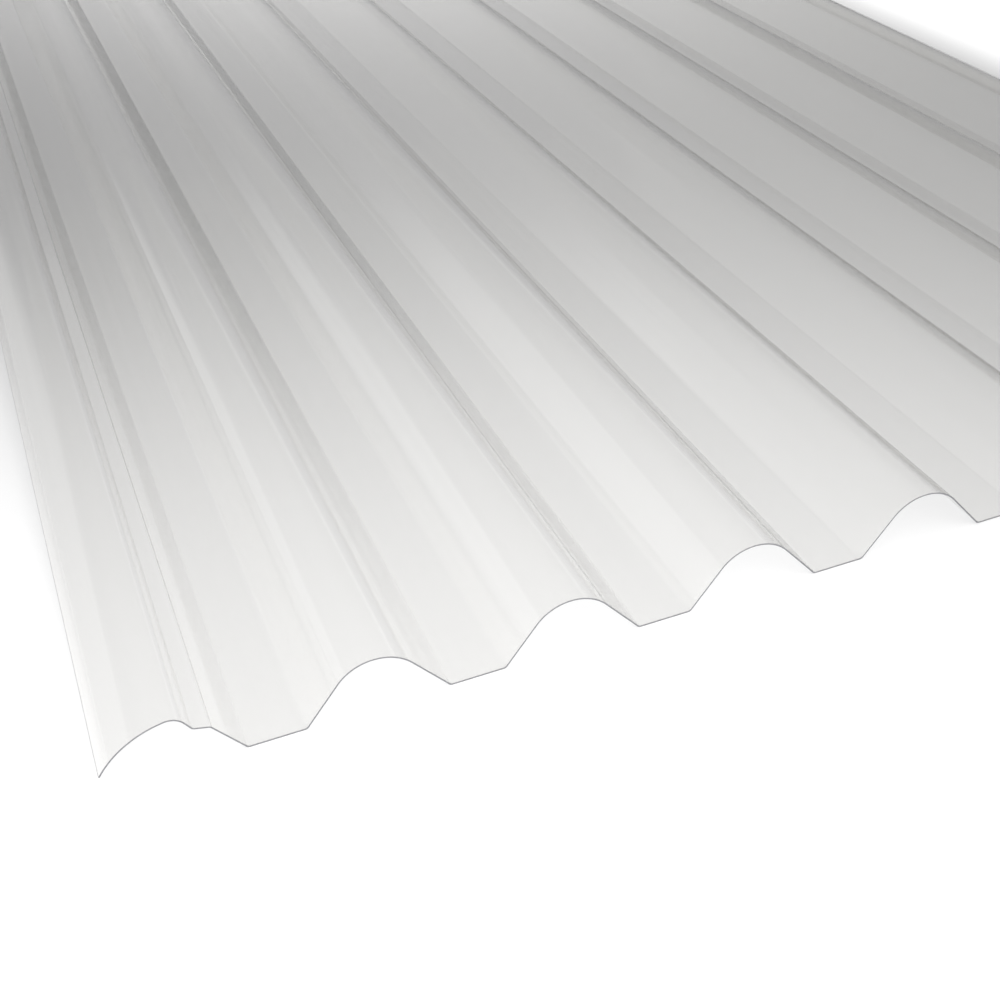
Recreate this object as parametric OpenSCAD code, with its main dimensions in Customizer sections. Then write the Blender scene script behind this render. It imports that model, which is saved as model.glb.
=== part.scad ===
// Clear polycarbonate roof sheet with broad round-topped waves.
//
// The sheet is one extruded skin. It lies flat on its valleys: X runs across the waves, Y runs along
// them and Z is up, with the origin at the middle of the underside. Its first wave is the lap wave: it
// ends short of the ground and has a step in its inner flank, so that the next sheet's last wave
// drops over it and leaves a drain between the two. Its last wave is a full one with a short lip.

/* [Sheet] */
// Length of the sheet along its waves
sheet_l = 2000; // [1000:100:6000]
// Thickness of the polycarbonate
sheet_t = 1; // [0.8:0.1:1.5]
// Number of waves, the lap wave included
waves = 9; // [3:1:12]
// Distance between the crests of neighbouring waves
pitch = 125; // [120:1:130]

/* [Waves] */
// Height over all, from the floor to the top of the crests
wave_h = 37.5; // [35:0.5:42]
// Width of the flat valleys, from corner to corner
valley_w = 35.5; // [30:0.5:40]
// Radius of the crests, at the middle of the skin
crest_r = 30; // [27:0.5:32]
// Radius of the corners between flanks and flats
corner_r = 3; // [2:0.5:4]

/* [Lap wave] */
// Reach of the free edge, outwards from the wave's axis
lap_reach = 39.5; // [36:0.5:42]
// Radius of the long outer flank
flank_r = 65; // [60:1:75]
// Slope in degrees at which the outer flank runs into the shoulder
flank_slope = 11; // [8:1:15]
// Radius of the shoulder at the crest
shoulder_r = 11; // [8:0.5:12]
// Shift of the shoulder from the wave's axis, towards the sheet
shoulder_shift = 2.5; // [1:0.5:3.5]
// Drop from the crest to the outer end of the step
step_drop = 13; // [12.5:0.5:15]
// Slope of the step in degrees
step_slope = 12; // [6:1:16]

/* [Last edge] */
// Width of the flat lip past the last wave
lip_w = 5.75; // [3:0.25:15]

/* [Curves] */
// Widest gap between a true curve and the short flats that draw it
curve_gap = 0.03; // [0.01:0.01:0.08]

/* [Hidden] */

// The profile is laid out along the middle of the skin, with the valleys at height 0.
crest_z = wave_h - sheet_t;
foot_x = (pitch - valley_w) / 2;
// Steepness of the flanks: a straight flank leaves the foot and touches the crest's circle.
flank_angle = atan2(crest_z - crest_r, foot_x) + asin(crest_r / norm([foot_x, crest_z - crest_r]));

// Lap wave: the shoulder's circle, and the long flank's circle that touches it from outside.
shoulder_c = [shoulder_shift, crest_z - shoulder_r];
flank_c = shoulder_c - (flank_r - shoulder_r) * up(flank_slope);
edge_angle = asin((flank_c[0] + lap_reach) / (flank_r + sheet_t / 2));
// The shoulder ends in a straight drop as steep as the flanks, down to the step.
drop_top = shoulder_c + shoulder_r * up(-flank_angle);
step_end = [foot_x - (crest_z - step_drop) / tan(flank_angle), crest_z - step_drop];
step_start = meeting(drop_top, -flank_angle, step_end, -step_slope);

// The sheet's two edges, measured from the lap wave's axis, and the middle between them
last_x = (waves - 1) * pitch;
right_x = last_x + foot_x + lip_w;
middle_x = (right_x - lap_reach) / 2;

// Unit vector at right angles to a run with this slope, on the upper side of the skin
function up(slope) = [-sin(slope), cos(slope)];

// Point where a line through p with slope a meets a line through q with slope b
function meeting(p, a, q, b) =
    let (x = (q[1] - p[1] + tan(a) * p[0] - tan(b) * q[0]) / (tan(a) - tan(b)))
    [x, p[1] + tan(a) * (x - p[0])];

// Stations [point, slope] along a round bend from slope a to slope b.
// The radius is positive over a crest and negative in a hollow.
function bend(centre, r, a, b) =
    let (steps = ceil(abs(b - a) / (2 * acos(1 - curve_gap / abs(r)))))
    [for (i = [0:steps]) let (s = a + (b - a) * i / steps) [centre + r * up(s), s]];

// The bend that rounds off the corner between two straight runs
function corner(tip, r, a, b) = bend(tip - r * (up(a) + up(b)) / (1 + up(a) * up(b)), r, a, b);

// A list without its first item
function rest(list) = [for (i = [1:len(list) - 1]) list[i]];

// A full wave on the axis at x, from valley to valley
function full_wave(x) = concat(
    corner([x - foot_x, 0], -corner_r, 0, flank_angle),
    bend([x, crest_z - crest_r], crest_r, flank_angle, -flank_angle),
    corner([x + foot_x, 0], -corner_r, -flank_angle, 0)
);

// The lap wave on the axis at x = 0, from the sheet's free edge to the first valley
function lap_wave() = concat(
    bend(flank_c, flank_r, edge_angle, flank_slope),
    rest(bend(shoulder_c, shoulder_r, flank_slope, -flank_angle)),
    corner(step_start, -corner_r, -flank_angle, -step_slope),
    corner(step_end, corner_r, -step_slope, -flank_angle),
    corner([foot_x, 0], -corner_r, -flank_angle, 0)
);

// The whole profile, from the free edge of the lap wave to the lip
function profile() = concat(
    lap_wave(),
    [for (i = [1:waves - 1]) each full_wave(i * pitch)],
    [[[right_x, 0], 0]]
);

// One face of the skin: the profile shifted to its upper side or, with a negative shift, its lower one
function face(stations, shift) = [for (s = stations) s[0] + shift * up(s[1])];

// The section of the sheet: the upper face from left to right and the lower face back again
module section() {
    stations = profile();
    upper = face(stations, sheet_t / 2);
    lower = face(stations, -sheet_t / 2);
    translate([-middle_x, sheet_t / 2])
        polygon(concat(upper, [for (i = [len(lower) - 1:-1:0]) lower[i]]));
}

module roof_sheet() {
    color([0.86, 0.89, 0.9, 0.5])
        translate([0, sheet_l / 2, 0])
            rotate([90, 0, 0])
                linear_extrude(height = sheet_l)
                    section();
}

roof_sheet();
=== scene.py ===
"""A clear polycarbonate roof sheet on a pale floor: its skin, its sawn edges, its finish and the stage."""
import math

import bmesh
import bpy
from bpy.props import FloatProperty, FloatVectorProperty, IntProperty, PointerProperty
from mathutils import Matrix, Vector


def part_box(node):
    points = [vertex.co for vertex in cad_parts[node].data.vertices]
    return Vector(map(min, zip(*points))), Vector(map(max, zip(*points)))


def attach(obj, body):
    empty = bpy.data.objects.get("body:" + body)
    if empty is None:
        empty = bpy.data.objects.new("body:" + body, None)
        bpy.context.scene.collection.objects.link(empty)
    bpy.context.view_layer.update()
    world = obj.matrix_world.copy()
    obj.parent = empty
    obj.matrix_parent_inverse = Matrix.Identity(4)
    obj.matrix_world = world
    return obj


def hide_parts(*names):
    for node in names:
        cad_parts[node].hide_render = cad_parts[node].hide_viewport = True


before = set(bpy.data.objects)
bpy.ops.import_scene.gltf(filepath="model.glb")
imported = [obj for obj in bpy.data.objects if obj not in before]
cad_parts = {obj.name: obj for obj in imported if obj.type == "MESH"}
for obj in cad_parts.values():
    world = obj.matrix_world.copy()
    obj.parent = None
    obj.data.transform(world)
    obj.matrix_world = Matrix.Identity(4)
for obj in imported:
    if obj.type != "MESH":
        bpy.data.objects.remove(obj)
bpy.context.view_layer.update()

bl_info = {
    "name": "Corrugated Roof Sheet",
    "version": (1, 0, 0),
    "blender": (4, 5, 0),
    "location": "View3D > Sidebar > Roof Sheet",
    "description": "Makes a clear corrugated roof sheet with a stepped lap wave, and a plain stage for it",
    "category": "Add Mesh",
}

NODE = "roof_sheet"
SKIN_PIECE = "clear_sheet"
SKIN = 0
SAWN = 1
MM = 0.001
CREASE = math.radians(40)
FLOOR_REACH = 30.0
FLOOR_GAP = 0.3 * MM
CARD_SEGMENTS = 96
MIX_FACTOR = 0
MIX_LOW = 6
MIX_HIGH = 7
MIX_RESULT = 2
LOW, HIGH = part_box(NODE)


# ---------------------------------------------------------------- settings


def length(name, description, default):
    """A length in metres that the sidebar shows in the scene's units."""
    return FloatProperty(name=name, description=description, default=default, min=0.0, precision=5,
                         unit="LENGTH", subtype="DISTANCE")


def angle(name, description, degrees):
    """An angle that is written in degrees and kept in radians."""
    return FloatProperty(name=name, description=description, default=math.radians(degrees),
                         unit="ROTATION", subtype="ANGLE")


def share(name, description, default):
    """A plain share from 0 to 1."""
    return FloatProperty(name=name, description=description, default=default, min=0.0, max=1.0,
                         subtype="FACTOR")


def colour(name, description, default):
    """A linear RGB colour."""
    return FloatVectorProperty(name=name, description=description, default=default, size=3,
                               min=0.0, max=1.0, subtype="COLOR")


def power(name, description, default):
    """The power of a lamp in watts."""
    return FloatProperty(name=name, description=description, default=default, min=0.0, unit="POWER")


def point(name, description, default):
    """A place in metres."""
    return FloatVectorProperty(name=name, description=description, default=default, size=3, unit="LENGTH",
                               subtype="TRANSLATION")


def direction(name, description, default):
    """A direction as a vector of about unit length."""
    return FloatVectorProperty(name=name, description=description, default=default, size=3,
                               subtype="DIRECTION")


class SheetSizes(bpy.types.PropertyGroup):
    """The driving sizes of the sheet's section."""

    waves: IntProperty(name="Waves", description="Number of waves, the lap wave included", default=9, min=3)
    pitch: length("Pitch", "Distance between neighbouring crests", 125.0 * MM)
    thickness: length("Thickness", "Thickness of the skin", 1.0 * MM)
    valley: length("Valley", "Width of the flat valleys, from corner to corner", 35.5 * MM)
    crest_radius: length("Crest radius", "Radius of the crests, at the middle of the skin", 30.0 * MM)
    corner_radius: length("Corner radius", "Radius of the corners between flanks and flats", 3.0 * MM)
    lap_reach: length("Lap reach", "Reach of the free edge from the lap wave's axis", 39.5 * MM)
    flank_radius: length("Outer flank radius", "Radius of the lap wave's outer flank", 61.5 * MM)
    flank_slope: angle("Outer flank slope", "Slope at which the outer flank meets the shoulder", 8.5)
    shoulder_radius: length("Shoulder radius", "Radius of the lap wave's shoulder", 11.0 * MM)
    shoulder_shift: length("Shoulder shift", "Shift of the shoulder from the lap wave's axis", 3.8 * MM)
    drop_slope: angle("Drop slope", "Slope of the lap wave's drop from the shoulder to the step", 57.0)
    step_drop: length("Step drop", "Drop from the crest to the outer end of the step", 13.4 * MM)
    step_slope: angle("Step slope", "Slope of the lap wave's step", 14.5)
    lap_slope: angle("Lap slope", "Slope of the lap wave from the step down to the first valley", 52.0)
    bend_steps: IntProperty(name="Bend steps", description="Flats in a quarter turn of a bend", default=36,
                            min=4)
    bays: IntProperty(name="Bays", description="Stretches that the length is divided into", default=16,
                      min=1)


class SheetFinish(bpy.types.PropertyGroup):
    """The finish of the polycarbonate."""

    tint: colour("Tint", "Colour of light that has passed through the skin", (0.963, 0.958, 0.945))
    hazy_tint: colour("Hazy tint", "Colour of light that has passed through a streak", (0.948, 0.943, 0.93))
    refraction: FloatProperty(name="Refraction", description="Index of refraction of polycarbonate",
                              default=1.585, min=1.0, max=3.0)
    least_roughness: share("Least roughness", "Roughness where the skin is clearest", 0.05)
    most_roughness: share("Most roughness", "Roughness in the hazy streaks", 0.09)
    streak_depth: length("Streak depth", "Height of the extruder's streaks", 0.001 * MM)
    saw_depth: length("Saw depth", "Height of the saw's marks on the sawn edges", 0.05 * MM)
    least_sawn: share("Least sawn roughness", "Roughness of the sawn edges where they are smoothest", 0.35)
    most_sawn: share("Most sawn roughness", "Roughness of the sawn edges where they are roughest", 0.6)
    shade: share("Clear shade", "Share of lamplight that one face lets through to the floor", 0.9)
    edge_light: colour("Sawn edge", "Lighter colour of the sawn edges", (0.35, 0.35, 0.37))
    edge_dark: colour("Sawn edge, dark", "Darker colour of the sawn edges", (0.18, 0.18, 0.19))


class SheetStage(bpy.types.PropertyGroup):
    """The floor, the light and the camera."""

    floor: colour("Floor", "Colour of the floor", (0.8, 0.8, 0.8))
    # Kept low, so that for the eye the floor under the sheet stays darker than the floor around it: a
    # painted shadow under the sheet.
    lift_in_painted_shadow: share("Lift under", "Light that the floor adds for the eye under the sheet", 0.043)
    lift_clear: share("Lift clear", "Light that the floor adds for the eye clear of the sheet", 0.7)
    # Over these two distances from the sheet the painted shadow fades to white: the first for the eye, the
    # second for mirrored and refracted rays.
    rim: length("Rim", "Distance from the sheet over which the floor goes to white for the camera", 0.12)
    mirrored_shadow_rim: length("Mirrored rim", "The same distance for mirrored and refracted rays", 1.0)
    pool: point("Pool", "Middle of the floor that the lamps already make white", (-0.5, -1.5, 0.0))
    pool_near: length("Pool, near", "Distance from its middle at which the pool starts to fade", 0.5)
    pool_far: length("Pool, far", "Distance from its middle at which the pool has faded", 1.7)
    sky: colour("Sky", "Colour of the surroundings overhead", (0.37, 0.37, 0.37))
    horizon: colour("Horizon", "Colour of the surroundings near the horizon, for the eye", (1.0, 1.0, 1.0))
    horizon_below: share("Horizon below", "Rise of a direction below which the eye meets the horizon", 0.2)
    sky_above: share("Sky above", "Rise of a direction above which the eye meets the plain sky", 0.4)
    card: colour("Card", "Colour of the low card, which only reflections see", (0.36, 0.36, 0.37))
    card_glow: colour("Card glow", "Colour of the card where it is palest", (0.7, 0.7, 0.7))
    glow_heading: direction("Glow heading", "Direction in which the card is palest", (-0.966, 0.259, 0.0))
    glow_core: angle("Glow core", "Angle from the palest direction where the card starts to darken", 33.0)
    glow_reach: angle("Glow reach", "Angle from the palest direction where the card is darkest", 46.0)
    card_reach: length("Card reach", "Distance of the dark card from the middle of the sheet", 2.0)
    card_height: length("Card height", "Height of the dark card", 0.85)
    band_strength: FloatProperty(name="Band strength", default=5.0, min=0.0,
                                 description="How much brighter than the sky the two bright bands are")
    band_rise: angle("Band rise", "Angle above the floor of the bright bands beside the sheet", 48.0)
    band_width: angle("Band width", "Angle from the middle of a bright band to its soft rim", 14.0)
    band_full: share("Bands full", "How far forward a direction points where the bands start to fade", 0.3)
    band_gone: share("Bands gone", "How far forward a direction points where the bands have faded", 0.48)
    near_power: power("Near lamp", "Power of the lamp over the front edge", 21.0)
    near_width: length("Near width", "Width of the lamp over the front edge", 1.6)
    near_place: point("Near place", "Place of the lamp over the front edge", (-0.46, -1.46, 0.9))
    near_aim: point("Near aim", "Point of the floor that the near lamp faces", (-0.85, -1.62, 0.0))
    far_power: power("Far lamp", "Power of the lamp over the far end", 42.9)
    far_width: length("Far width", "Width of the lamp over the far end", 1.2)
    far_place: point("Far place", "Place of the lamp over the far end", (-0.33, 1.1, 1.39))
    far_aim: point("Far aim", "Point of the floor that the far lamp faces", (2.2, 2.22, 0.0))
    eye: point("Eye", "Place of the camera", (-0.5117, -1.6365, 0.5942))
    turn: FloatVectorProperty(name="Turn", description="Rotation of the camera", size=3, unit="ROTATION",
                              subtype="EULER", default=[math.radians(v) for v in (54.937, 3.564, -21.238)])
    lens: FloatProperty(name="Lens", description="Focal length of the camera", default=52.7, min=1.0,
                        unit="CAMERA")


# ---------------------------------------------------------------- drawing the section


def up(slope):
    """Unit vector at right angles to a run with this slope, on the upper side of the skin."""
    return Vector((-math.sin(slope), 0.0, math.cos(slope)))


def along(slope):
    """Unit vector along a run with this slope."""
    return Vector((math.cos(slope), 0.0, math.sin(slope)))


class Pen:
    """Draws one face of the skin as a chain of edges. Each run or bend starts where the last one ended
    and leaves at its slope. The shift is how far this face lies above the middle of the skin."""

    def __init__(self, bm, middle, slope, shift, quarter_steps):
        self.bm = bm
        self.slope = slope
        self.shift = shift
        self.step_angle = math.pi / 2 / quarter_steps
        self.tip = bm.verts.new(middle + shift * up(slope))

    def run(self, distance):
        """A straight run."""
        made = bmesh.ops.extrude_vert_indiv(self.bm, verts=[self.tip])
        self.tip = made["verts"][0]
        bmesh.ops.translate(self.bm, verts=[self.tip], vec=distance * along(self.slope))

    def bend(self, radius, turn):
        """A round bend over a crest, where turn is positive, or through a hollow, where it is negative.
        The radius is that of the middle of the skin."""
        side = math.copysign(1.0, turn)
        centre = self.tip.co - (side * radius + self.shift) * up(self.slope)
        steps = max(2, math.ceil(abs(turn) / self.step_angle))
        made = bmesh.ops.spin(self.bm, geom=[self.tip], cent=centre, axis=(0, 1, 0), angle=turn,
                              steps=steps)
        self.tip = made["geom_last"][0]
        self.slope -= turn


def set_back(radius, turn):
    """How far a rounded corner's bend starts before the corner itself."""
    return radius * math.tan(abs(turn) / 2)


class Section:
    """The lengths and slopes of the section, worked out from its driving sizes."""

    def __init__(self, sizes):
        s = sizes
        self.sizes = s
        self.crest = HIGH.z - LOW.z - s.thickness
        self.foot = (s.pitch - s.valley) / 2
        rise = self.crest - s.crest_radius
        reach = math.hypot(self.foot, rise)
        self.flank_slope = math.atan2(rise, self.foot) + math.asin(s.crest_radius / reach)
        self.foot_back = set_back(s.corner_radius, self.flank_slope)
        self.flank_run = math.sqrt(reach ** 2 - s.crest_radius ** 2) - self.foot_back
        self.axis_x = LOW.x + s.lap_reach
        self.lip = HIGH.x - self.axis_x - (s.waves - 1) * s.pitch - self.foot
        self.lap()

    def lap(self):
        """The lap wave's free edge, its drop, its step and the run down to the first valley."""
        s = self.sizes
        self.drop_turn = s.drop_slope - s.step_slope
        self.lap_turn = s.lap_slope - s.step_slope
        shoulder = Vector((s.shoulder_shift, 0, self.crest - s.shoulder_radius))
        flank = shoulder - (s.flank_radius - s.shoulder_radius) * up(s.flank_slope)
        self.edge_slope = math.asin((flank.x + s.lap_reach) / (s.flank_radius + s.thickness / 2))
        self.edge_point = flank + s.flank_radius * up(self.edge_slope)
        drop_top = shoulder + s.shoulder_radius * up(-s.drop_slope)
        height = self.crest - s.step_drop
        step_end = Vector((self.foot - height / math.tan(s.lap_slope), 0, height))
        fall, tread = math.tan(s.drop_slope), math.tan(s.step_slope)
        x = (drop_top.z - step_end.z + fall * drop_top.x - tread * step_end.x) / (fall - tread)
        step_start = Vector((x, 0, step_end.z + tread * (step_end.x - x)))
        start_back = set_back(s.corner_radius, self.drop_turn)
        end_back = set_back(s.corner_radius, self.lap_turn)
        self.drop_run = (step_start - drop_top).length - start_back
        self.step_run = (step_end - step_start).length - start_back - end_back
        self.lap_run = height / math.sin(s.lap_slope) - end_back - set_back(s.corner_radius, s.lap_slope)

    def draw(self, bm, shift):
        """One face of the skin at the front end, from the free edge to the lip, as a chain of edges."""
        s = self.sizes
        known = set(bm.edges)
        start = self.edge_point + Vector((self.axis_x, LOW.y, LOW.z + s.thickness / 2))
        pen = Pen(bm, start, self.edge_slope, shift, s.bend_steps)
        slope = self.flank_slope
        corner = s.corner_radius
        pen.bend(s.flank_radius, self.edge_slope - s.flank_slope)
        pen.bend(s.shoulder_radius, s.flank_slope + s.drop_slope)
        pen.run(self.drop_run)
        pen.bend(corner, -self.drop_turn)
        pen.run(self.step_run)
        pen.bend(corner, self.lap_turn)
        pen.run(self.lap_run)
        pen.bend(corner, -s.lap_slope)
        valley_run = s.valley - set_back(corner, s.lap_slope) - self.foot_back
        for _ in range(s.waves - 1):
            pen.run(valley_run)
            pen.bend(corner, -slope)
            pen.run(self.flank_run)
            pen.bend(s.crest_radius, 2 * slope)
            pen.run(self.flank_run)
            pen.bend(corner, -slope)
            valley_run = s.valley - 2 * self.foot_back
        pen.run(self.lip - self.foot_back)
        return [edge for edge in bm.edges if edge not in known]


def of_kind(geometry, kind):
    """The vertices, edges or faces in what a bmesh operator gave back."""
    return [item for item in geometry if isinstance(item, kind)]


def runs_along(edge):
    """True for an edge along the waves."""
    one, other = edge.verts
    return abs((one.co - other.co).normalized().y) > 0.5


def sheet_mesh(sizes):
    """The skin. Its two faces are drawn at the front end and bridged into the sawn front edge, which is
    then drawn out along the waves."""
    bm = bmesh.new()
    section = Section(sizes)
    faces = [section.draw(bm, side * sizes.thickness / 2) for side in (-1, 1)]
    sawn = bmesh.ops.bridge_loops(bm, edges=faces[0] + faces[1])["faces"]
    made = bmesh.ops.extrude_face_region(bm, geom=sawn)["geom"]
    far = of_kind(made, bmesh.types.BMVert)
    bmesh.ops.translate(bm, verts=far, vec=(0, HIGH.y - LOW.y, 0))
    long_edges = [edge for edge in bm.edges if runs_along(edge)]
    bmesh.ops.subdivide_edges(bm, edges=long_edges, cuts=sizes.bays - 1)
    bmesh.ops.recalc_face_normals(bm, faces=bm.faces)
    finish_faces(bm, sizes.thickness)
    return bm


def finish_faces(bm, thickness):
    """Smooth shading with crisp sawn edges, which take the second material."""
    for face in bm.faces:
        face.smooth = True
        face.material_index = SKIN
    for edge in bm.edges:
        edge.smooth = edge.calc_face_angle(0.0) < CREASE
    for face in bm.faces:
        if is_sawn(face, thickness):
            face.material_index = SAWN


def is_sawn(face, thickness):
    """True for a face of the four narrow sides: two of its edges are creases, and between them it is as
    narrow as the skin is thick."""
    creases = [edge for edge in face.edges if not edge.smooth]
    widths = [edge.calc_length() for edge in face.edges if edge.smooth]
    return len(creases) >= 2 and min(widths) < 1.5 * thickness


# ---------------------------------------------------------------- materials


def node(tree, kind, column, row, settings=None, inputs=None):
    """A node at a place in the tree's grid, with its settings and the plain values of its inputs."""
    made = tree.nodes.new(kind)
    made.location = (220 * column, -220 * row)
    for name, value in (settings or {}).items():
        setattr(made, name, value)
    for name, value in (inputs or {}).items():
        made.inputs[name].default_value = value
    return made


def opaque(rgb):
    """A colour with the alpha that a colour socket asks for."""
    return (rgb[0], rgb[1], rgb[2], 1.0)


def new_group(name, inputs, outputs):
    """An empty node group with named sockets. Each socket is given as its name, kind and default."""
    tree = bpy.data.node_groups.new(name, "ShaderNodeTree")
    for in_out, sockets in (("INPUT", inputs), ("OUTPUT", outputs)):
        for label, kind, default in sockets:
            made = tree.interface.new_socket(label, in_out=in_out, socket_type=kind)
            if default is not None:
                made.default_value = default
    return tree


def streaks_group():
    """Lines that the extruder draws along the sheet: a mask and a height that change across it and hardly
    along it."""
    tree = new_group(
        "extruder_streaks",
        [("Vector", "NodeSocketVector", None), ("Across", "NodeSocketFloat", 300.0),
         ("Along", "NodeSocketFloat", 2.0), ("Contrast", "NodeSocketFloat", 1.0)],
        [("Mask", "NodeSocketFloat", None), ("Height", "NodeSocketFloat", None)],
    )
    link = tree.links.new
    given = node(tree, "NodeGroupInput", 0, 0)
    scale = node(tree, "ShaderNodeCombineXYZ", 1, 1)
    for axis in ("X", "Z"):
        link(given.outputs["Across"], scale.inputs[axis])
    link(given.outputs["Along"], scale.inputs["Y"])
    stretched = node(tree, "ShaderNodeVectorMath", 2, 0, {"operation": "MULTIPLY"})
    link(given.outputs["Vector"], stretched.inputs[0])
    link(scale.outputs["Vector"], stretched.inputs[1])
    noise = node(tree, "ShaderNodeTexNoise", 3, 0, None, {"Scale": 1.0, "Detail": 3.0, "Roughness": 0.6})
    link(stretched.outputs["Vector"], noise.inputs["Vector"])
    centred = node(tree, "ShaderNodeMath", 4, 0, {"operation": "SUBTRACT"}, {1: 0.5})
    link(noise.outputs["Fac"], centred.inputs[0])
    stronger = node(tree, "ShaderNodeMath", 5, 0, {"operation": "MULTIPLY_ADD", "use_clamp": True},
                    {2: 0.5})
    link(centred.outputs["Value"], stronger.inputs[0])
    link(given.outputs["Contrast"], stronger.inputs[1])
    result = node(tree, "NodeGroupOutput", 6, 0)
    link(stronger.outputs["Value"], result.inputs["Mask"])
    link(noise.outputs["Fac"], result.inputs["Height"])
    return tree


def new_material(name):
    """A material with an empty node tree. What it gives off counts as its look and not as a lamp."""
    made = bpy.data.materials.new(name)
    made.use_nodes = True
    made.cycles.emission_sampling = "NONE"
    made.node_tree.nodes.clear()
    return made, made.node_tree


def placed_group(tree, group, column, row, inputs):
    """A node that puts a group into a material, with its own values."""
    made = node(tree, "ShaderNodeGroup", column, row, {"node_tree": group})
    for name, value in inputs.items():
        made.inputs[name].default_value = value
    return made


def mixed_colour(tree, column, row, low, high):
    """A node that goes from one colour to another, and its factor and result sockets."""
    made = node(tree, "ShaderNodeMix", column, row, {"data_type": "RGBA"})
    made.inputs[MIX_LOW].default_value = opaque(low)
    made.inputs[MIX_HIGH].default_value = opaque(high)
    return made.inputs[MIX_FACTOR], made.outputs[MIX_RESULT]


def clear_material(finish, streaks):
    """Clear polycarbonate: it bends and mirrors light, with faint haze in the extruder's streaks, and lets
    lamplight through to the floor."""
    material, tree = new_material("clear_polycarbonate")
    link = tree.links.new
    place = node(tree, "ShaderNodeTexCoord", -2, 0)
    lines = placed_group(tree, streaks, -1, 0, {"Across": 260.0, "Along": 1.5, "Contrast": 2.5})
    link(place.outputs["Object"], lines.inputs["Vector"])
    factor, tint = mixed_colour(tree, 0, 0, finish.tint, finish.hazy_tint)
    link(lines.outputs["Mask"], factor)
    gloss = node(tree, "ShaderNodeMapRange", 0, 1, None,
                 {"To Min": finish.least_roughness, "To Max": finish.most_roughness})
    link(lines.outputs["Mask"], gloss.inputs["Value"])
    relief = node(tree, "ShaderNodeBump", 0, 2, None, {"Strength": 1.0, "Distance": finish.streak_depth})
    link(lines.outputs["Height"], relief.inputs["Height"])
    plastic = node(tree, "ShaderNodeBsdfPrincipled", 1, 0, None,
                   {"Metallic": 0.0, "IOR": finish.refraction, "Transmission Weight": 1.0})
    link(tint, plastic.inputs["Base Color"])
    link(gloss.outputs["Result"], plastic.inputs["Roughness"])
    link(relief.outputs["Normal"], plastic.inputs["Normal"])
    passing = node(tree, "ShaderNodeBsdfTransparent", 2, 1, None, {"Color": opaque([finish.shade] * 3)})
    path = node(tree, "ShaderNodeLightPath", 1, -1)
    lamplight = node(tree, "ShaderNodeMath", 2, -1, {"operation": "MAXIMUM"})
    link(path.outputs["Is Shadow Ray"], lamplight.inputs[0])
    link(path.outputs["Is Diffuse Ray"], lamplight.inputs[1])
    choice = node(tree, "ShaderNodeMixShader", 3, 0)
    link(lamplight.outputs["Value"], choice.inputs[0])
    link(plastic.outputs["BSDF"], choice.inputs[1])
    link(passing.outputs["BSDF"], choice.inputs[2])
    output = node(tree, "ShaderNodeOutputMaterial", 4, 0)
    link(choice.outputs["Shader"], output.inputs["Surface"])
    return material


def sawn_material(finish, streaks):
    """The matt, greyish sawn edge of the polycarbonate, with the saw's fine marks."""
    material, tree = new_material("sawn_polycarbonate")
    link = tree.links.new
    place = node(tree, "ShaderNodeTexCoord", -2, 0)
    marks = placed_group(tree, streaks, -1, 0, {"Across": 900.0, "Along": 900.0, "Contrast": 3.0})
    link(place.outputs["Object"], marks.inputs["Vector"])
    factor, shade = mixed_colour(tree, 0, 0, finish.edge_dark, finish.edge_light)
    link(marks.outputs["Mask"], factor)
    gloss = node(tree, "ShaderNodeMapRange", 0, 1, None,
                 {"To Min": finish.least_sawn, "To Max": finish.most_sawn})
    link(marks.outputs["Mask"], gloss.inputs["Value"])
    relief = node(tree, "ShaderNodeBump", 0, 2, None, {"Strength": 1.0, "Distance": finish.saw_depth})
    link(marks.outputs["Height"], relief.inputs["Height"])
    plastic = node(tree, "ShaderNodeBsdfPrincipled", 1, 0, None,
                   {"Metallic": 0.0, "IOR": finish.refraction})
    link(shade, plastic.inputs["Base Color"])
    link(gloss.outputs["Result"], plastic.inputs["Roughness"])
    link(relief.outputs["Normal"], plastic.inputs["Normal"])
    output = node(tree, "ShaderNodeOutputMaterial", 2, 0)
    link(plastic.outputs["BSDF"], output.inputs["Surface"])
    return material


def seen_by_eye(tree, column, row):
    """A socket that is 1 for what the eye sees, straight, mirrored or through the sheet."""
    path = node(tree, "ShaderNodeLightPath", column, row)
    seen = path.outputs["Is Camera Ray"]
    for step, name in ((1, "Is Glossy Ray"), (2, "Is Transmission Ray")):
        either = node(tree, "ShaderNodeMath", column + step, row, {"operation": "MAXIMUM"})
        tree.links.new(seen, either.inputs[0])
        tree.links.new(path.outputs[name], either.inputs[1])
        seen = either.outputs["Value"]
    return seen


def clear_of_sheet(tree, column, row):
    """A socket with the distance of a place on the floor from the sheet's outline, 0 under the sheet: how
    far it is from the sheet's middle, less half the sheet's size, where that is above 0. Heights don't
    count."""
    link = tree.links.new
    middle = (LOW + HIGH) / 2
    reach = (HIGH - LOW) / 2
    place = node(tree, "ShaderNodeTexCoord", column, row)
    steps = (("SUBTRACT", (middle.x, middle.y, 0)), ("ABSOLUTE", None), ("SUBTRACT", (reach.x, reach.y, 1)),
             ("MAXIMUM", (0, 0, 0)))
    last = place.outputs["Object"]
    for step, (operation, value) in enumerate(steps, 1):
        made = node(tree, "ShaderNodeVectorMath", column + step, row, {"operation": operation})
        if value is not None:
            made.inputs[1].default_value = value
        link(last, made.inputs[0])
        last = made.outputs["Vector"]
    distance = node(tree, "ShaderNodeVectorMath", column + 5, row, {"operation": "LENGTH"})
    link(last, distance.inputs[0])
    return distance.outputs["Value"]


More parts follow.
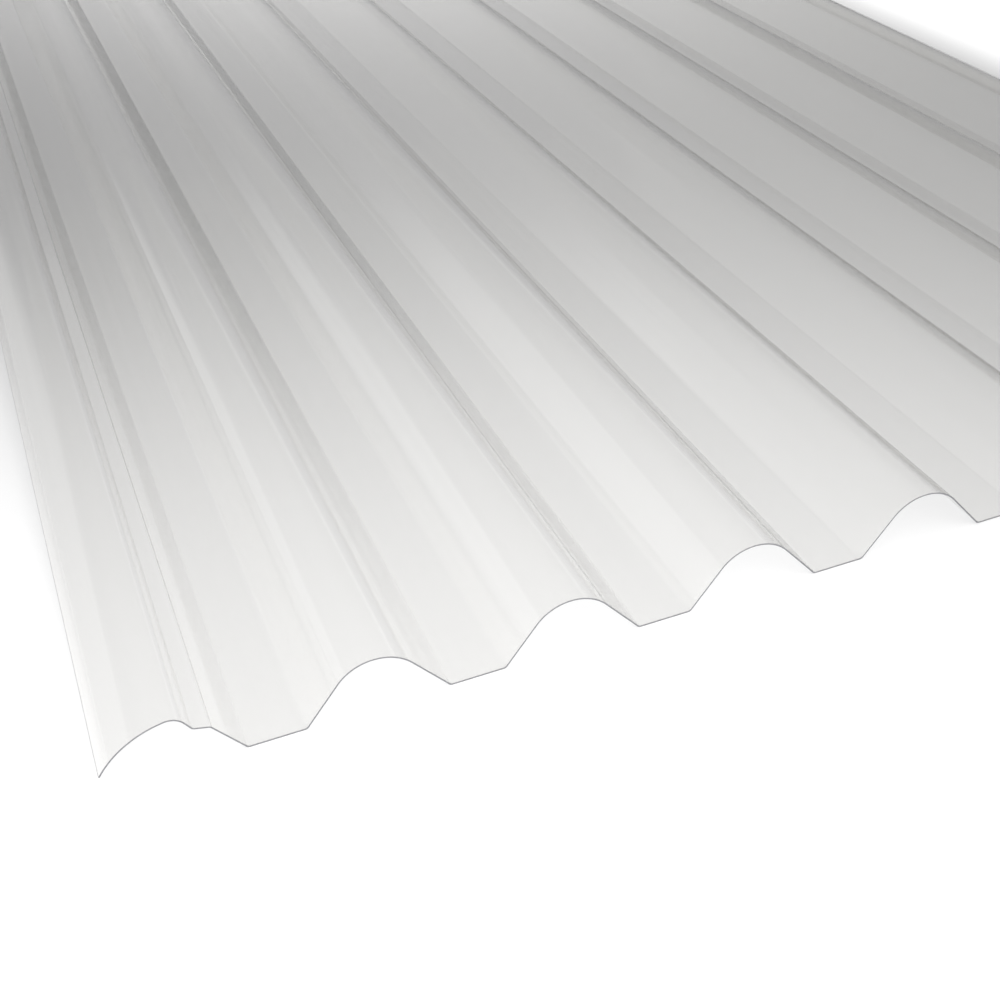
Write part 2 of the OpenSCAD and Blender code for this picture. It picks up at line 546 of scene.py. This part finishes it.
def floor_material(stage):
    """A matt pale floor that takes the sheet's shadow. For the eye it goes to white clear of the sheet.
    Under the sheet it gets far less lift, which fades in over a rim around the sheet: a painted shadow
    under the sheet.
    """
    material, tree = new_material("pale_floor_with_painted_shadow")
    link = tree.links.new
    path = node(tree, "ShaderNodeLightPath", -3, 1)
    rim = node(tree, "ShaderNodeMapRange", -2, 1, None, {"To Min": stage.mirrored_shadow_rim, "To Max": stage.rim})
    link(path.outputs["Is Camera Ray"], rim.inputs["Value"])
    # Painted shadow: the lift is low under the sheet and reaches full strength only past the rim around it.
    clear = node(tree, "ShaderNodeMapRange", -1, 1, {"interpolation_type": "SMOOTHSTEP"},
                 {"To Max": stage.lift_clear - stage.lift_in_painted_shadow})
    link(rim.outputs["Result"], clear.inputs["From Max"])
    link(clear_of_sheet(tree, -9, 1), clear.inputs["Value"])
    place = node(tree, "ShaderNodeTexCoord", -3, 2)
    from_pool = node(tree, "ShaderNodeVectorMath", -2, 2, {"operation": "DISTANCE"}, {1: stage.pool})
    link(place.outputs["Object"], from_pool.inputs[0])
    unlit = node(tree, "ShaderNodeMapRange", -1, 2, {"interpolation_type": "SMOOTHSTEP"},
                 {"From Min": stage.pool_near, "From Max": stage.pool_far})
    link(from_pool.outputs["Value"], unlit.inputs["Value"])
    rise = node(tree, "ShaderNodeMath", 0, 1, {"operation": "MULTIPLY_ADD"}, {2: stage.lift_in_painted_shadow})
    link(clear.outputs["Result"], rise.inputs[0])
    link(unlit.outputs["Result"], rise.inputs[1])
    # The floor's lift for the eye: white clear of the sheet, a painted shadow under it.
    eye_lift_with_painted_shadow = node(tree, "ShaderNodeMath", 1, 0, {"operation": "MULTIPLY"})
    link(seen_by_eye(tree, -2, 0), eye_lift_with_painted_shadow.inputs[0])
    link(rise.outputs["Value"], eye_lift_with_painted_shadow.inputs[1])
    matt = node(tree, "ShaderNodeBsdfPrincipled", 2, 0, None,
                {"Base Color": opaque(stage.floor), "Roughness": 0.9, "Emission Color": (1, 1, 1, 1)})
    link(eye_lift_with_painted_shadow.outputs["Value"], matt.inputs["Emission Strength"])
    output = node(tree, "ShaderNodeOutputMaterial", 3, 0)
    link(matt.outputs["BSDF"], output.inputs["Surface"])
    return material


def card_material(stage):
    """A dark grey that needs no lamp and goes softly paler to one side."""
    material, tree = new_material("dark_card")
    link = tree.links.new
    place = node(tree, "ShaderNodeTexCoord", 0, 0)
    heading = node(tree, "ShaderNodeVectorMath", 1, 0, {"operation": "NORMALIZE"})
    link(place.outputs["Object"], heading.inputs[0])
    closeness = node(tree, "ShaderNodeVectorMath", 2, 0, {"operation": "DOT_PRODUCT"},
                     {1: Vector(stage.glow_heading).normalized()})
    link(heading.outputs["Vector"], closeness.inputs[0])
    lobe = node(tree, "ShaderNodeMapRange", 3, 0, {"interpolation_type": "SMOOTHSTEP"},
                {"From Min": math.cos(stage.glow_reach), "From Max": math.cos(stage.glow_core)})
    link(closeness.outputs["Value"], lobe.inputs["Value"])
    factor, shade = mixed_colour(tree, 4, 0, stage.card, stage.card_glow)
    link(lobe.outputs["Result"], factor)
    plain = node(tree, "ShaderNodeEmission", 5, 0)
    link(shade, plain.inputs["Color"])
    output = node(tree, "ShaderNodeOutputMaterial", 6, 0)
    link(plain.outputs["Emission"], output.inputs["Surface"])
    return material


# ---------------------------------------------------------------- operators


class ROOFSHEET_OT_sheet(bpy.types.Operator):
    """Make the clear corrugated sheet with its stepped lap wave"""

    bl_idname = "roof_sheet.sheet"
    bl_label = "Roof Sheet"
    bl_options = {"REGISTER", "UNDO"}

    def execute(self, context):
        sizes = context.scene.sheet_sizes
        finish = context.scene.sheet_finish
        mesh = bpy.data.meshes.new(SKIN_PIECE)
        bm = sheet_mesh(sizes)
        bm.to_mesh(mesh)
        bm.free()
        streaks = streaks_group()
        mesh.materials.append(clear_material(finish, streaks))
        mesh.materials.append(sawn_material(finish, streaks))
        sheet = bpy.data.objects.new(SKIN_PIECE, mesh)
        context.collection.objects.link(sheet)
        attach(sheet, "root")
        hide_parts(NODE)
        return {"FINISHED"}


class ROOFSHEET_OT_stage(bpy.types.Operator):
    """Lay the pale floor, stand the dark card, hang the two soft lamps and set up the camera"""

    bl_idname = "roof_sheet.stage"
    bl_label = "Stage"
    bl_options = {"REGISTER", "UNDO"}

    def execute(self, context):
        stage = context.scene.sheet_stage
        lay_floor(context, stage)
        stand_card(context, stage)
        light_sky(context, stage)
        hang_lamp(context, "near_lamp", stage.near_power, stage.near_width, stage.near_place,
                  stage.near_aim)
        hang_lamp(context, "far_lamp", stage.far_power, stage.far_width, stage.far_place, stage.far_aim)
        set_camera(context, stage)
        context.scene.view_settings.view_transform = "Standard"
        return {"FINISHED"}


def stage_object(context, name, bm, material):
    """A finished mesh as an object of the stage."""
    mesh = bpy.data.meshes.new(name)
    bm.to_mesh(mesh)
    bm.free()
    mesh.materials.append(material)
    made = bpy.data.objects.new(name, mesh)
    context.collection.objects.link(made)
    return made


def show_to_reflections(thing):
    """Only mirrored and refracted rays see the thing."""
    for seen_by in ("camera", "diffuse", "shadow"):
        setattr(thing, "visible_" + seen_by, False)


def lay_floor(context, stage):
    """The floor, just under the sheet."""
    bm = bmesh.new()
    bmesh.ops.create_grid(bm, x_segments=1, y_segments=1, size=FLOOR_REACH)
    bmesh.ops.translate(bm, verts=bm.verts, vec=(0, 0, LOW.z - FLOOR_GAP))
    stage_object(context, "floor", bm, floor_material(stage))


def stand_card(context, stage):
    """A low dark card all round the stage. Clear plastic mirrors it where it curves away from the eye,
    which gives it dark outlines on a white floor."""
    bm = bmesh.new()
    bmesh.ops.create_circle(bm, segments=CARD_SEGMENTS, radius=stage.card_reach)
    walls = bmesh.ops.extrude_edge_only(bm, edges=bm.edges)["geom"]
    bmesh.ops.translate(bm, verts=of_kind(walls, bmesh.types.BMVert), vec=(0, 0, stage.card_height))
    show_to_reflections(stage_object(context, "card", bm, card_material(stage)))


def bright_bands(tree, stage, column, row):
    """A socket that is 1 in two soft bands of the sky, one on either side, that run along the waves and end
    abreast of the sheet. Mirrored, they draw bright lines along the waves."""
    link = tree.links.new
    place = node(tree, "ShaderNodeTexCoord", column, row)
    either_side = node(tree, "ShaderNodeVectorMath", column + 1, row, {"operation": "ABSOLUTE"})
    link(place.outputs["Generated"], either_side.inputs[0])
    across = Vector((math.sin(stage.band_rise), 0, -math.cos(stage.band_rise)))
    off_band = node(tree, "ShaderNodeVectorMath", column + 2, row, {"operation": "DOT_PRODUCT"},
                    {1: across})
    link(either_side.outputs["Vector"], off_band.inputs[0])
    rim = node(tree, "ShaderNodeMath", column + 3, row, {"operation": "ABSOLUTE"})
    link(off_band.outputs["Value"], rim.inputs[0])
    band = node(tree, "ShaderNodeMapRange", column + 4, row, {"interpolation_type": "SMOOTHSTEP"},
                {"From Min": math.sin(stage.band_width), "From Max": 0.0})
    link(rim.outputs["Value"], band.inputs["Value"])
    ahead = node(tree, "ShaderNodeSeparateXYZ", column + 1, row + 1)
    link(place.outputs["Generated"], ahead.inputs[0])
    behind = node(tree, "ShaderNodeMapRange", column + 4, row + 1, {"interpolation_type": "SMOOTHSTEP"},
                  {"From Min": stage.band_gone, "From Max": stage.band_full})
    link(ahead.outputs["Y"], behind.inputs["Value"])
    both = node(tree, "ShaderNodeMath", column + 5, row, {"operation": "MULTIPLY"})
    link(band.outputs["Result"], both.inputs[0])
    link(behind.outputs["Result"], both.inputs[1])
    return both.outputs["Value"]


def light_sky(context, stage):
    """Plain grey surroundings. For the eye they go to white near the horizon and have two bright bands."""
    world = bpy.data.worlds.new("studio")
    context.scene.world = world
    world.cycles.sampling_method = "NONE"
    world.use_nodes = True
    tree = world.node_tree
    tree.nodes.clear()
    link = tree.links.new
    place = node(tree, "ShaderNodeTexCoord", 0, 0)
    height = node(tree, "ShaderNodeSeparateXYZ", 1, 0)
    link(place.outputs["Generated"], height.inputs[0])
    lowness = node(tree, "ShaderNodeMapRange", 2, 0, {"interpolation_type": "SMOOTHSTEP"},
                   {"From Min": stage.sky_above, "From Max": stage.horizon_below})
    link(height.outputs["Z"], lowness.inputs["Value"])
    seen = seen_by_eye(tree, 0, 1)
    share_white = node(tree, "ShaderNodeMath", 3, 0, {"operation": "MULTIPLY"})
    link(lowness.outputs["Result"], share_white.inputs[0])
    link(seen, share_white.inputs[1])
    factor, shade = mixed_colour(tree, 4, 0, stage.sky, stage.horizon)
    link(share_white.outputs["Value"], factor)
    seen_band = node(tree, "ShaderNodeMath", 3, 2, {"operation": "MULTIPLY"})
    link(bright_bands(tree, stage, -3, 3), seen_band.inputs[0])
    link(seen, seen_band.inputs[1])
    strength = node(tree, "ShaderNodeMath", 4, 2, {"operation": "MULTIPLY_ADD"},
                    {1: stage.band_strength, 2: 1.0})
    link(seen_band.outputs["Value"], strength.inputs[0])
    background = node(tree, "ShaderNodeBackground", 5, 0)
    link(shade, background.inputs["Color"])
    link(strength.outputs["Value"], background.inputs["Strength"])
    output = node(tree, "ShaderNodeOutputWorld", 6, 0)
    link(background.outputs["Background"], output.inputs["Surface"])


def hang_lamp(context, name, watts, width, place, aim):
    """A square soft lamp that is turned to a point. It lights the floor and isn't seen itself, so that it
    leaves no glints on the sheet."""
    data = bpy.data.lights.new(name, "AREA")
    data.energy = watts
    data.size = width
    lamp = bpy.data.objects.new(name, data)
    context.collection.objects.link(lamp)
    lamp.location = place
    lamp.rotation_euler = (Vector(aim) - lamp.location).to_track_quat("-Z", "Y").to_euler()
    for seen_by in ("camera", "glossy", "transmission"):
        setattr(lamp, "visible_" + seen_by, False)
    return lamp


def set_camera(context, stage):
    """The camera, above the front left corner of the sheet."""
    data = bpy.data.cameras.new("camera")
    data.lens = stage.lens
    data.clip_end = 2 * FLOOR_REACH
    camera = bpy.data.objects.new("camera", data)
    context.collection.objects.link(camera)
    camera.location = stage.eye
    camera.rotation_euler = stage.turn
    context.scene.camera = camera


class ROOFSHEET_PT_panel(bpy.types.Panel):
    """The sheet's sizes and finish, the stage, and the buttons that make them"""

    bl_label = "Roof Sheet"
    bl_idname = "ROOFSHEET_PT_panel"
    bl_space_type = "VIEW_3D"
    bl_region_type = "UI"
    bl_category = "Roof Sheet"

    def draw(self, context):
        scene = context.scene
        parts = ((ROOFSHEET_OT_sheet, (scene.sheet_sizes, scene.sheet_finish)),
                 (ROOFSHEET_OT_stage, (scene.sheet_stage,)))
        for operator, groups in parts:
            box = self.layout.box()
            for group in groups:
                for name in group.__annotations__:
                    box.prop(group, name)
            box.operator(operator.bl_idname)


CLASSES = (SheetSizes, SheetFinish, SheetStage, ROOFSHEET_OT_sheet, ROOFSHEET_OT_stage, ROOFSHEET_PT_panel)


def register():
    for each in CLASSES:
        bpy.utils.register_class(each)
    bpy.types.Scene.sheet_sizes = PointerProperty(type=SheetSizes)
    bpy.types.Scene.sheet_finish = PointerProperty(type=SheetFinish)
    bpy.types.Scene.sheet_stage = PointerProperty(type=SheetStage)


def unregister():
    del bpy.types.Scene.sheet_stage
    del bpy.types.Scene.sheet_finish
    del bpy.types.Scene.sheet_sizes
    for each in reversed(CLASSES):
        bpy.utils.unregister_class(each)


def main():
    """Make everything in order: the stage, then the sheet."""
    register()
    bpy.ops.roof_sheet.stage()
    bpy.ops.roof_sheet.sheet()


if __name__ == "__main__":
    main()
